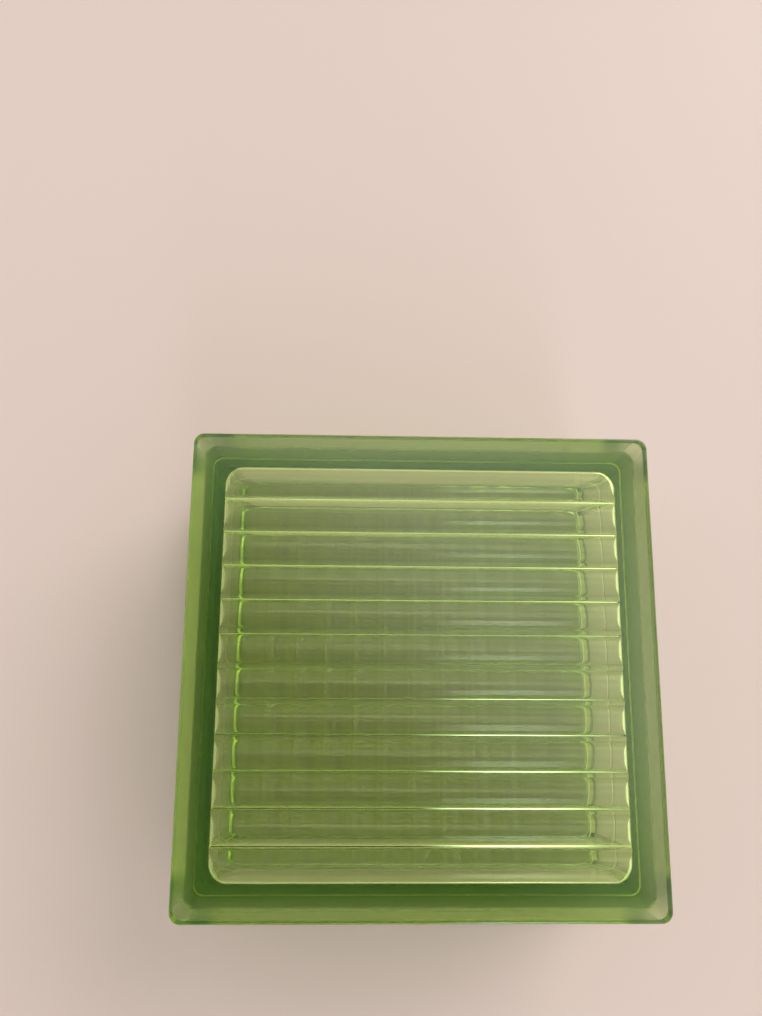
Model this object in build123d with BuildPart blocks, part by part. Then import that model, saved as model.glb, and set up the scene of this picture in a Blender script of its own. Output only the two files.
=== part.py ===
"""Hollow pressed-glass block, one fused piece, lying on its rear face. Millimetres, +Z up, origin at the centre of
the rear face. Both panels are flat outside and fluted on the cavity side, with the two sets of flutes crossed."""

import math
import os

from build123d import *

# Outer block
face_side = 190.0
block_depth = 80.0
plan_corner = 4.4
edge_round = 1.2

# Mortar channel round the four edges, between a rim at each face
channel_depth = 4.2
channel_corner = 4.2
channel_round = 3.0
rim_straight = 8.0
rim_slope = 5.0
rim_round = 2.0

# Weld bead left in the channel where the two pressed halves meet
bead_height = 1.0
bead_width = 3.0

# Cavity: its border from the outer edge at the panel, its draft to the seam, and the panel over the flute crowns
border = 13.0
cavity_draft = 1.2
cavity_corner = 7.5
cavity_round = 3.3
crown_glass = 6.8

# Flutes on the cavity side of each panel: a broad crown between tighter shoulders, and round cusps between them
flute_pitch = 13.9
flute_radius = 12.0
shoulder_radius = 5.4
cusp_round = 1.75
flank_slope = 42.0

half_depth = block_depth / 2
channel_side = face_side - 2 * channel_depth
bead_side = channel_side + 2 * bead_height
cavity_side = face_side - 2 * border
seam_side = cavity_side + 2 * cavity_draft
ceiling = half_depth - crown_glass
rim_bottom = half_depth - rim_straight
channel_top = rim_bottom - rim_slope
draft_angle = math.degrees(math.atan2(cavity_draft, ceiling))

# An even number of flutes, so a cusp runs along the middle, and enough of them to pass the cavity's edges
flute_count = 2 * math.ceil(seam_side / 2 / flute_pitch)
flute_end = flute_pitch * flute_count / 2

# The crowns stop this far short of the cavity's ceiling, so that the cut stays clear of that plane
crown_gap = 0.05
crown = ceiling - crown_gap

# Half a flute from its middle: the crown arc ends at crown_foot and the shoulder at the flank, where the cusp begins
flank_turn = math.radians(flank_slope)
shoulder_span = (shoulder_radius + cusp_round) * math.sin(flank_turn)
crown_turn = math.asin((flute_pitch / 2 - shoulder_span) / (flute_radius - shoulder_radius))
crown_reach = flute_radius * math.sin(crown_turn)
crown_foot = crown - flute_radius * (1 - math.cos(crown_turn))
flank_reach = flute_pitch / 2 - cusp_round * math.sin(flank_turn)
flank = crown_foot - shoulder_radius * (math.cos(crown_turn) - math.cos(flank_turn))
cusp = flank - cusp_round * (1 - math.cos(flank_turn))

# Outer block from the seam plane up, mirrored below it
with BuildPart() as body:
    with BuildSketch():
        RectangleRounded(channel_side, channel_side, channel_corner)
    extrude(amount=channel_top)
    with BuildSketch(Plane.XY.offset(channel_top)):
        RectangleRounded(channel_side, channel_side, channel_corner)
    with BuildSketch(Plane.XY.offset(rim_bottom)):
        RectangleRounded(face_side, face_side, plan_corner)
    loft(ruled=True)
    with BuildSketch(Plane.XY.offset(rim_bottom)):
        RectangleRounded(face_side, face_side, plan_corner)
    extrude(amount=rim_straight)
    fillet(body.faces().sort_by(Axis.Z)[-1].edges(), edge_round)
    fillet(body.edges().filter_by_position(Axis.Z, rim_bottom, rim_bottom), rim_round)
    fillet(body.edges().filter_by_position(Axis.Z, channel_top, channel_top), channel_round)
    mirror(about=Plane.XY)

with BuildPart() as bead:
    with BuildSketch():
        RectangleRounded(bead_side, bead_side, channel_corner + bead_height)
    extrude(amount=bead_width / 2, both=True)
    fillet(bead.edges().filter_by(Axis.Z, reverse=True), bead_height)

# Glass of one panel's flutes: a wavy underside with rounded cusps, running along X
with BuildPart() as flutes:
    with BuildSketch(Plane.YZ):
        with BuildLine():
            Line((-flute_end, half_depth), (-flute_end, flank))
            Line((-flute_end, flank), (flute_pitch / 2 - flute_end - flank_reach, flank))
            for index in range(flute_count):
                middle = (index + 0.5) * flute_pitch - flute_end
                RadiusArc(
                    (middle - flank_reach, flank),
                    (middle - crown_reach, crown_foot),
                    shoulder_radius,
                )
                ThreePointArc(
                    (middle - crown_reach, crown_foot),
                    (middle, crown),
                    (middle + crown_reach, crown_foot),
                )
                RadiusArc(
                    (middle + crown_reach, crown_foot),
                    (middle + flank_reach, flank),
                    shoulder_radius,
                )
            for index in range(1, flute_count):
                centre = index * flute_pitch - flute_end
                reach = flute_pitch / 2 - flank_reach
                ThreePointArc(
                    (centre - reach, flank),
                    (centre, cusp),
                    (centre + reach, flank),
                )
            Line((flute_end - flute_pitch / 2 + flank_reach, flank), (flute_end, flank))
            Line((flute_end, flank), (flute_end, half_depth))
            Line((flute_end, half_depth), (-flute_end, half_depth))
        make_face()
    extrude(amount=seam_side, both=True)

# Cavity from the seam up, narrowing with its draft and rounded into the fluted panel
with BuildPart() as cavity_half:
    with BuildSketch():
        RectangleRounded(seam_side, seam_side, cavity_corner + cavity_draft)
    extrude(amount=ceiling, taper=draft_angle)
    fillet(cavity_half.faces().sort_by(Axis.Z)[-1].edges(), cavity_round)
    add(flutes.part, mode=Mode.SUBTRACT)

# The rear half is the front half turned over, with its flutes along Y
with BuildPart() as cavity:
    add(cavity_half.part)
    add(cavity_half.part, rotation=(180, 0, 90))

with BuildPart() as glass_block:
    with Locations((0, 0, half_depth)):
        add(body.part)
        add(bead.part)
        add(cavity.part, mode=Mode.SUBTRACT)

os.makedirs("parts", exist_ok=True)
glass_block.part.label = "glass_block"
export_step(glass_block.part, "parts/glass_block.step")
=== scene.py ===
"""Green pressed-glass block with crossed flutes, lying on a plain pale floor.

Metres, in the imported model's frame: the block lies on its rear face, about the Z axis."""

import math

import bmesh
import bpy
from mathutils import Euler, Matrix, Vector, noise


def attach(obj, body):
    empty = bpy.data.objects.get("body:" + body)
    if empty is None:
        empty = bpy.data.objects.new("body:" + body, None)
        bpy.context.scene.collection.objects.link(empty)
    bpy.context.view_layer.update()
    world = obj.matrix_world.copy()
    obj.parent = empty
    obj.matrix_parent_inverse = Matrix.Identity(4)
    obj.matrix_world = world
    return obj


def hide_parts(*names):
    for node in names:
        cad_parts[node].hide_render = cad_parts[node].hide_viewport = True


MM = 0.001

# The block's own sizes
FACE_SIDE = 190 * MM
BLOCK_DEPTH = 80 * MM
PLAN_CORNER = 4.4 * MM
EDGE_ROUND = 1.2 * MM
CHANNEL_DEPTH = 4.2 * MM
CHANNEL_CORNER = 4.2 * MM
CHANNEL_ROUND = 3.0 * MM
RIM_STRAIGHT = 8.0 * MM
RIM_SLOPE = 5.0 * MM
RIM_ROUND = 2.0 * MM
BEAD_HEIGHT = 1.0 * MM
BEAD_WIDTH = 3.0 * MM
BORDER = 13.0 * MM
CAVITY_DRAFT = 1.2 * MM
CAVITY_CORNER = 7.5 * MM
CAVITY_ROUND = 3.3 * MM
CROWN_GLASS = 6.8 * MM
FLUTE_PITCH = 13.9 * MM
FLUTE_COUNT = 12
FLUTE_RADIUS = 12.0 * MM
SHOULDER_RADIUS = 5.4 * MM
CUSP_ROUND = 1.75 * MM
FLANK_SLOPE = math.radians(42)
CROWN_GAP = 0.05 * MM

HALF_DEPTH = BLOCK_DEPTH / 2
CHANNEL_HALF = FACE_SIDE / 2 - CHANNEL_DEPTH
RIM_BOTTOM = HALF_DEPTH - RIM_STRAIGHT
CHANNEL_TOP = RIM_BOTTOM - RIM_SLOPE
CAVITY_HALF = FACE_SIDE / 2 - BORDER
SEAM_HALF = CAVITY_HALF + CAVITY_DRAFT
CEILING = HALF_DEPTH - CROWN_GLASS
CROWN = CEILING - CROWN_GAP

# How far the flutes' glass runs past the cavity's sides, so that the cut is clean
RIDGE_OVERRUN = 2 * MM

# Surface waves: how far apart the cuts that carry them are, where the first one lies between two
# cuts, their length and height, and the shorter waves laid over them
WAVE_CUT = 4.7 * MM
WAVE_CUT_SHARE = 0.31
WAVE_LENGTH = 17 * MM
WAVE_HEIGHT = 0.04 * MM
RIPPLE_HEIGHT = 0.5
RIPPLE_COUNT = 2.3

# Faces round each quarter turn in plan, and round each shape's section
CORNER_STEPS = 12
EDGE_STEPS = 5
BEAD_STEPS = 4
CAVITY_STEPS = 9
CROWN_STEPS = 8
SHOULDER_STEPS = 7
CUSP_STEPS = 12

# The bead's rounding is kept this share of its height, so that its two ends don't meet
BEAD_ROUND_SHARE = 0.96

QUARTER_TURN = math.pi / 2
TINY = 1e-6
MERGE = 5e-6
SLIVER = 2e-6


def everything(bm):
    """All the geometry of a bmesh."""
    return bm.verts[:] + bm.edges[:] + bm.faces[:]


def edges_at(bm, height):
    """The edges that lie wholly at one height."""
    return [e for e in bm.edges if all(abs(v.co.z - height) < TINY for v in e.verts)]


def new_verts(made):
    """The vertices that an operator made."""
    return [g for g in made["geom"] if isinstance(g, bmesh.types.BMVert)]


def new_line(made, verts):
    """The edges that an operator made between its new vertices."""
    edges = [g for g in made["geom"] if isinstance(g, bmesh.types.BMEdge)]
    return [e for e in edges if set(e.verts) <= set(verts)]


def round_edges(bm, edges, setback, segments):
    """Rounds edges from a setback on each side of them."""
    bmesh.ops.bevel(
        bm,
        geom=edges,
        offset=setback,
        offset_type="OFFSET",
        affect="EDGES",
        segments=segments,
        profile=0.5,
        material=-1,
        clamp_overlap=False,
    )


def setback(radius, turn):
    """How far from its edge a rounding of a radius starts, where the faces turn by an angle."""
    return radius * math.tan(turn / 2)


def drop_faces(bm, height):
    """Removes the faces that lie at one height."""
    flat = [f for f in bm.faces if all(abs(v.co.z - height) < TINY for v in f.verts)]
    bmesh.ops.delete(bm, geom=flat, context="FACES")


def rounded_square(half, radius, height):
    """A ring of edges at a height: a square with rounded corners about the Z axis."""
    bm = bmesh.new()
    place = Matrix.Translation((0, 0, height))
    bmesh.ops.create_grid(bm, x_segments=1, y_segments=1, size=half, matrix=place)
    bmesh.ops.bevel(
        bm,
        geom=bm.verts[:],
        offset=radius,
        offset_type="OFFSET",
        affect="VERTICES",
        segments=CORNER_STEPS,
        profile=0.5,
        material=-1,
        clamp_overlap=False,
    )
    bmesh.ops.delete(bm, geom=bm.faces[:], context="FACES_ONLY")
    return bm


def next_ring(bm, ring, rise, now, then):
    """Extrudes a rounded square ring to its next level, and returns the new ring.

    Each size is a half side and a corner radius."""
    made = bmesh.ops.extrude_edge_only(bm, edges=ring)
    verts = new_verts(made)
    half, radius = now
    new_half, new_radius = then
    shift = (new_half - new_radius) - (half - radius)
    for side in (-1, 1):
        for end in (-1, 1):
            corner = [v for v in verts if v.co.x * side > 0 and v.co.y * end > 0]
            centre = Matrix.Translation((-side * (half - radius), -end * (half - radius), 0))
            grow = new_radius / radius
            bmesh.ops.scale(bm, vec=(grow, grow, 1), space=centre, verts=corner)
            bmesh.ops.translate(bm, vec=(side * shift, end * shift, rise), verts=corner)
    return new_line(made, verts)


def outer_skin():
    """The block's outside: two rims, the mortar channel between them and the weld bead in it."""
    bead_top = BEAD_WIDTH / 2
    bead = (CHANNEL_HALF + BEAD_HEIGHT, CHANNEL_CORNER + BEAD_HEIGHT)
    channel = (CHANNEL_HALF, CHANNEL_CORNER)
    rim = (FACE_SIDE / 2, PLAN_CORNER)
    bm = rounded_square(*bead, 0)
    lip = next_ring(bm, bm.edges[:], bead_top, bead, bead)
    ring = next_ring(bm, lip, 0, bead, channel)
    ring = next_ring(bm, ring, CHANNEL_TOP - bead_top, channel, channel)
    ring = next_ring(bm, ring, RIM_SLOPE, channel, rim)
    ring = next_ring(bm, ring, RIM_STRAIGHT, rim, rim)
    bmesh.ops.contextual_create(bm, geom=ring)
    slope = math.atan2(CHANNEL_DEPTH, RIM_SLOPE)
    round_edges(bm, lip, setback(BEAD_ROUND_SHARE * BEAD_HEIGHT, QUARTER_TURN), BEAD_STEPS)
    round_edges(bm, edges_at(bm, HALF_DEPTH), setback(EDGE_ROUND, QUARTER_TURN), EDGE_STEPS)
    round_edges(bm, edges_at(bm, RIM_BOTTOM), setback(RIM_ROUND, slope), EDGE_STEPS)
    round_edges(bm, edges_at(bm, CHANNEL_TOP), setback(CHANNEL_ROUND, slope), EDGE_STEPS)
    bmesh.ops.mirror(bm, geom=everything(bm), axis="Z", merge_dist=MERGE)
    bmesh.ops.recalc_face_normals(bm, faces=bm.faces[:])
    return bm


def cavity_core():
    """Half of the cavity before its flutes, from the seam up."""
    seam = (SEAM_HALF, CAVITY_CORNER + CAVITY_DRAFT)
    top = (CAVITY_HALF, CAVITY_CORNER)
    bm = rounded_square(*seam, 0)
    ring = bm.edges[:]
    bmesh.ops.contextual_create(bm, geom=ring)
    ring = next_ring(bm, ring, CEILING, seam, top)
    bmesh.ops.contextual_create(bm, geom=ring)
    turn = QUARTER_TURN - math.atan2(CAVITY_DRAFT, CEILING)
    round_edges(bm, edges_at(bm, CEILING), setback(CAVITY_ROUND, turn), CAVITY_STEPS)
    bmesh.ops.recalc_face_normals(bm, faces=bm.faces[:])
    return bm


def flute_ridges():
    """The glass between one panel's flutes, as a slab with a wavy underside: flutes along X."""
    bm = bmesh.new()
    reach = SEAM_HALF + RIDGE_OVERRUN
    half_pitch = FLUTE_PITCH / 2
    sunk = FLUTE_RADIUS - SHOULDER_RADIUS
    around_cusp = SHOULDER_RADIUS + CUSP_ROUND
    turn = math.asin((half_pitch - around_cusp * math.sin(FLANK_SLOPE)) / sunk)
    aside = sunk * math.sin(turn)
    crown_centre = CROWN - FLUTE_RADIUS
    shoulder_centre = crown_centre + sunk * math.cos(turn)
    cusp_centre = shoulder_centre + around_cusp * math.cos(FLANK_SLOPE)
    flank = shoulder_centre + SHOULDER_RADIUS * math.cos(FLANK_SLOPE)
    flat = CUSP_ROUND * math.sin(FLANK_SLOPE)
    start = -half_pitch * FLUTE_COUNT
    shoulder_turn = turn - FLANK_SLOPE
    ends = [bm.verts.new((x, start, flank)) for x in (-reach, reach)]
    line = slide_line(bm, [bm.edges.new(ends)], flat)
    for index in range(FLUTE_COUNT):
        middle = start + half_pitch * (2 * index + 1)
        near, far = ((0, middle + side * aside, shoulder_centre) for side in (-1, 1))
        line = spin_line(bm, line, near, shoulder_turn, SHOULDER_STEPS)
        line = spin_line(bm, line, (0, middle, crown_centre), -2 * turn, CROWN_STEPS)
        line = spin_line(bm, line, far, shoulder_turn, SHOULDER_STEPS)
        if index < FLUTE_COUNT - 1:
            cusp = (0, middle + half_pitch, cusp_centre)
            line = spin_line(bm, line, cusp, 2 * FLANK_SLOPE, CUSP_STEPS)
    slide_line(bm, line, flat)
    rim = [e for e in bm.edges if e.is_boundary]
    made = bmesh.ops.extrude_edge_only(bm, edges=rim)
    for vert in new_verts(made):
        vert.co.z = HALF_DEPTH
    lid = [e for e in edges_at(bm, HALF_DEPTH) if e.is_boundary]
    bmesh.ops.contextual_create(bm, geom=lid)
    bmesh.ops.recalc_face_normals(bm, faces=bm.faces[:])
    return bm


def slide_line(bm, line, along):
    """Extrudes a line that runs along X by a step in Y, and returns the new line."""
    made = bmesh.ops.extrude_edge_only(bm, edges=line)
    fresh = new_verts(made)
    bmesh.ops.translate(bm, verts=fresh, vec=(0, along, 0))
    return new_line(made, fresh)


def spin_line(bm, line, centre, angle, steps):
    """Spins a line that runs along X about a centre, and returns the line it ends in."""
    made = bmesh.ops.spin(
        bm,
        geom=list({v for e in line for v in e.verts}) + line,
        cent=centre,
        axis=(1, 0, 0),
        dvec=(0, 0, 0),
        angle=angle,
        steps=steps,
        use_duplicate=False,
        use_merge=False,
    )
    return [g for g in made["geom_last"] if isinstance(g, bmesh.types.BMEdge)]


def as_object(bm, name):
    """An object from a bmesh, linked to the scene."""
    mesh = bpy.data.meshes.new(name)
    bm.to_mesh(mesh)
    bm.free()
    thing = bpy.data.objects.new(name, mesh)
    bpy.context.scene.collection.objects.link(thing)
    return thing


def fluted_cavity_half():
    """Half of the cavity with its flutes, open at the seam, as a bmesh."""
    core = as_object(cavity_core(), "cavity_core")
    ridges = as_object(flute_ridges(), "flute_ridges")
    cut = core.modifiers.new("flutes", "BOOLEAN")
    cut.operation = "DIFFERENCE"
    cut.solver = "EXACT"
    cut.object = ridges
    bpy.context.view_layer.update()
    made = core.evaluated_get(bpy.context.evaluated_depsgraph_get())
    bm = bmesh.new()
    bm.from_mesh(made.to_mesh())
    made.to_mesh_clear()
    for spent in (core, ridges):
        bpy.data.objects.remove(spent)
    drop_faces(bm, 0)
    return bm


def glass_body():
    """The whole block: its outside, and inside it the cavity with the panels' flutes crossed."""
    half = fluted_cavity_half()
    whole = bmesh.new()
    mesh = bpy.data.meshes.new("half")
    half.to_mesh(mesh)
    whole.from_mesh(mesh)
    turn = Euler((math.pi, 0, math.pi / 2)).to_matrix().to_4x4()
    half.transform(turn)
    half.to_mesh(mesh)
    half.free()
    whole.from_mesh(mesh)
    bmesh.ops.remove_doubles(whole, verts=whole.verts[:], dist=MERGE)
    bmesh.ops.recalc_face_normals(whole, faces=whole.faces[:])
    bmesh.ops.reverse_faces(whole, faces=whole.faces[:])
    skin = outer_skin()
    skin.to_mesh(mesh)
    skin.free()
    whole.from_mesh(mesh)
    bpy.data.meshes.remove(mesh)
    chill_waves(whole)
    frosting(whole)
    whole.transform(Matrix.Translation((0, 0, HALF_DEPTH)))
    return as_object(whole, "pressed_block")


def chill_waves(bm):
    """The faint waves that pressing leaves in every surface."""
    cuts = math.floor(FACE_SIDE / 2 / WAVE_CUT)
    for index in range(-cuts, cuts + 1):
        for across in ((1, 0, 0), (0, 1, 0)):
            where = Vector(across) * (index + WAVE_CUT_SHARE) * WAVE_CUT
            bmesh.ops.bisect_plane(
                bm, geom=everything(bm), dist=TINY, plane_co=where, plane_no=across
            )
    bmesh.ops.dissolve_degenerate(bm, dist=SLIVER, edges=bm.edges[:])
    bm.normal_update()
    for vert in bm.verts:
        place = vert.co / WAVE_LENGTH
        height = noise.noise(place) + RIPPLE_HEIGHT * noise.noise(place * RIPPLE_COUNT)
        vert.co += vert.normal * height * WAVE_HEIGHT


# How far outside the seam a vertex lies at least if it is on the outer skin
SKIN_CLEARANCE = 3 * MM


def frosting(bm):
    """Marks the channel's sides, which the mould left matt, and fades the mark out to the rims."""
    mark = bm.verts.layers.float.new("frosting")
    for vert in bm.verts:
        outside = max(abs(vert.co.x), abs(vert.co.y)) > SEAM_HALF + SKIN_CLEARANCE
        fade = (RIM_BOTTOM + RIM_ROUND / 2 - abs(vert.co.z)) / RIM_ROUND
        vert[mark] = min(1, max(0, fade)) if outside else 0


SHARP_ANGLE = math.radians(24)


def smooth(piece):
    """Smooth shading over the roundings, flat over the flat faces."""
    piece.data.shade_smooth()
    piece.data.set_sharp_from_angle(angle=SHARP_ANGLE)
    even = piece.modifiers.new("even_shading", "WEIGHTED_NORMAL")
    even.keep_sharp = True
    even.weight = 50


def node_tree(name):
    """A new material's node tree with only its output, and the material."""
    finish = bpy.data.materials.new(name)
    finish.use_nodes = True
    tree = finish.node_tree
    tree.nodes.clear()
    tree.nodes.new("ShaderNodeOutputMaterial")
    return finish, tree


GLASS_IOR = 1.52
GLASS_TINT = (0.707, 0.864, 0.16)
GLASS_TINT_DENSITY = 70.0
CHANNEL_MATT = 0.5


def green_glass():
    """Clear glass, tinted green through its thickness."""
    finish, tree = node_tree("green_glass")
    out = tree.nodes["Material Output"]
    skin = tree.nodes.new("ShaderNodeBsdfPrincipled")
    skin.inputs["Base Color"].default_value = (1, 1, 1, 1)
    skin.inputs["IOR"].default_value = GLASS_IOR
    skin.inputs["Transmission Weight"].default_value = 1
    depth = tree.nodes.new("ShaderNodeVolumeAbsorption")
    depth.inputs["Color"].default_value = (*GLASS_TINT, 1)
    depth.inputs["Density"].default_value = GLASS_TINT_DENSITY
    mark = tree.nodes.new("ShaderNodeAttribute")
    mark.attribute_name = "frosting"
    matt = tree.nodes.new("ShaderNodeMath")
    matt.operation = "MULTIPLY"
    matt.inputs[1].default_value = CHANNEL_MATT
    tree.links.new(mark.outputs["Fac"], matt.inputs[0])
    tree.links.new(matt.outputs["Value"], skin.inputs["Roughness"])
    tree.links.new(skin.outputs["BSDF"], out.inputs["Surface"])
    tree.links.new(depth.outputs["Volume"], out.inputs["Volume"])
    return finish


FLOOR_COLOUR = (0.80, 0.65, 0.56)
FLOOR_ROUGHNESS = 0.5
FLOOR_HALF = 1.5

# A pressed block touches its floor at a few high spots only, so most of its rear face stands
# this far above it
FLOOR_GAP = 0.2 * MM


def pale_floor():
    """A plain pale floor with a soft gloss."""
    finish, tree = node_tree("pale_floor")
    out = tree.nodes["Material Output"]
    skin = tree.nodes.new("ShaderNodeBsdfPrincipled")
    skin.inputs["Base Color"].default_value = (*FLOOR_COLOUR, 1)
    skin.inputs["Roughness"].default_value = FLOOR_ROUGHNESS
    tree.links.new(skin.outputs["BSDF"], out.inputs["Surface"])
    bm = bmesh.new()
    place = Matrix.Translation((0, 0, -FLOOR_GAP))
    bmesh.ops.create_grid(bm, x_segments=1, y_segments=1, size=FLOOR_HALF, matrix=place)
    floor = as_object(bm, "floor")
    floor.data.materials.append(finish)
    return floor


def soft_step(tree, value, start, end, low, high):
    """A smooth step of a value, from low at the start to high at the end."""
    step = tree.nodes.new("ShaderNodeMapRange")
    step.interpolation_type = "SMOOTHSTEP"
    for name, number in (("From Min", start), ("From Max", end), ("To Min", low), ("To Max", high)):
        step.inputs[name].default_value = number
    tree.links.new(value, step.inputs["Value"])
    return step.outputs["Result"]


def combine(tree, operation, *values):
    """A math node over linked values."""
    node = tree.nodes.new("ShaderNodeMath")
    node.operation = operation
    for index, value in enumerate(values):
        tree.links.new(value, node.inputs[index])
    return node.outputs["Value"]


def blend(tree, share, first, second):
    """A mix of two linked values."""
    mixed = tree.nodes.new("ShaderNodeMix")
    tree.links.new(share, mixed.inputs["Factor"])
    tree.links.new(first, mixed.inputs["A"])
    tree.links.new(second, mixed.inputs["B"])
    return mixed.outputs["Result"]


ROOM_COLOUR = (1.0, 0.98, 0.97)
CEILING_LIGHT = 0.66
SHADE_LIGHT = 0.03

# Steps of the room's light: where each starts and ends along an axis of the direction, and the
# light at its two ends
WALL_STEP = (-1, 1, 0.55, 1.3)
RIGHT_STEP = (0.05, 0.2, SHADE_LIGHT, CEILING_LIGHT)
BACK_STEP = (-0.12, 0.12, SHADE_LIGHT, CEILING_LIGHT)
OVERHEAD_STEP = (-0.12, 0.3, 0.3, 1.9)

# How high the ceiling starts over the walls, and the part right overhead over the ceiling
CEILING_RISE = (0.36, 0.58, 0, 1)
OVERHEAD_RISE = (0.88, 0.95, 0, 1)

# The window's four sides, and the light that it lets in
WINDOW_COLOUR = (0.95, 1.0, 1.45)
WINDOW_LIGHT = 3.5
WINDOW_LEFT = (0.06, 0.16, 0, WINDOW_LIGHT)
WINDOW_RIGHT = (0.18, 0.29, 1, 0)
WINDOW_SILL = (0.15, 0.25, 0, 1)
WINDOW_HEAD = (-0.62, -0.45, 1, 0)

# The soft glow: its direction, and how it grows with nearness to that
GLOW_TOWARD = (0.6, 0.6, 0.53)
GLOW_STEP = (0.88, 0.98, 0, 3.4)


def studio():
    """Soft light from a pale room, with a glow behind on the right and a low window in front.

    The ceiling is dim at the front left, which gives the flutes their dark lines."""
    world = bpy.data.worlds.new("studio")
    world.use_nodes = True
    tree = world.node_tree
    toward = tree.nodes.new("ShaderNodeTexCoord").outputs["Generated"]
    axes = tree.nodes.new("ShaderNodeSeparateXYZ")
    tree.links.new(toward, axes.inputs["Vector"])
    x, y, z = (axes.outputs[name] for name in "XYZ")
    nearness = tree.nodes.new("ShaderNodeVectorMath")
    nearness.operation = "DOT_PRODUCT"
    nearness.inputs[1].default_value = GLOW_TOWARD
    tree.links.new(toward, nearness.inputs[0])
    glow = soft_step(tree, nearness.outputs["Value"], *GLOW_STEP)

    walls = soft_step(tree, x, *WALL_STEP)
    right = soft_step(tree, x, *RIGHT_STEP)
    back = soft_step(tree, y, *BACK_STEP)
    sides = combine(tree, "MAXIMUM", right, back)
    overhead = soft_step(tree, combine(tree, "ADD", x, y), *OVERHEAD_STEP)
    ceiling = blend(tree, soft_step(tree, z, *OVERHEAD_RISE), sides, overhead)
    room = blend(tree, soft_step(tree, z, *CEILING_RISE), walls, ceiling)
    room = combine(tree, "ADD", room, glow)

    across = [soft_step(tree, x, *side) for side in (WINDOW_LEFT, WINDOW_RIGHT)]
    upwards = [soft_step(tree, y, *WINDOW_HEAD), soft_step(tree, z, *WINDOW_SILL)]
    spans = [combine(tree, "MULTIPLY", *pair) for pair in (across, upwards)]
    window = combine(tree, "MULTIPLY", *spans)

    plain = tree.nodes["Background"]
    panes = tree.nodes.new("ShaderNodeBackground")
    for light, colour, strength in ((plain, ROOM_COLOUR, room), (panes, WINDOW_COLOUR, window)):
        light.inputs["Color"].default_value = (*colour, 1)
        tree.links.new(strength, light.inputs["Strength"])
    both = tree.nodes.new("ShaderNodeAddShader")
    tree.links.new(plain.outputs["Background"], both.inputs[0])
    tree.links.new(panes.outputs["Background"], both.inputs[1])
    tree.links.new(both.outputs["Shader"], tree.nodes["World Output"].inputs["Surface"])
    bpy.context.scene.world = world


CAMERA_PLACE = (-0.0242, -0.0031, 0.4107)
CAMERA_TURN = (0.1970, -0.0305, 0.0063)
CAMERA_LENS = 29.105
CAMERA_SENSOR = 36
CAMERA_SHIFT = (-0.0059, 0.0022)
CAMERA_NEAR = 0.01


def camera():
    """The camera, a little left of the block and looking down at it."""
    eye = bpy.data.cameras.new("camera")
    eye.lens = CAMERA_LENS
    eye.sensor_width = CAMERA_SENSOR
    eye.shift_x, eye.shift_y = CAMERA_SHIFT
    eye.clip_start = CAMERA_NEAR
    thing = bpy.data.objects.new("camera", eye)
    thing.location = CAMERA_PLACE
    thing.rotation_euler = CAMERA_TURN
    bpy.context.scene.collection.objects.link(thing)
    bpy.context.scene.camera = thing


# Light bounces that a ray needs on its way through both panels and back
GLASS_BOUNCES = 32
GLOSS_BOUNCES = 16

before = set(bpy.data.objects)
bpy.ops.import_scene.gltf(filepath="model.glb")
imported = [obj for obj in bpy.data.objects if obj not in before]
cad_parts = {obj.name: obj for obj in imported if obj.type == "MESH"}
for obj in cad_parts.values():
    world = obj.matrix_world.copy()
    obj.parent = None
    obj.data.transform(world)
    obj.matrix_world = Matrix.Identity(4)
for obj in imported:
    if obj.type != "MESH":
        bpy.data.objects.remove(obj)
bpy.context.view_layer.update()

block = glass_body()
smooth(block)
block.data.materials.append(green_glass())
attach(block, "root")
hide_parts("glass_block")

pale_floor()
studio()
camera()

scene = bpy.context.scene
scene.view_settings.view_transform = "Standard"
scene.cycles.max_bounces = GLASS_BOUNCES
scene.cycles.transmission_bounces = GLASS_BOUNCES
scene.cycles.glossy_bounces = GLOSS_BOUNCES
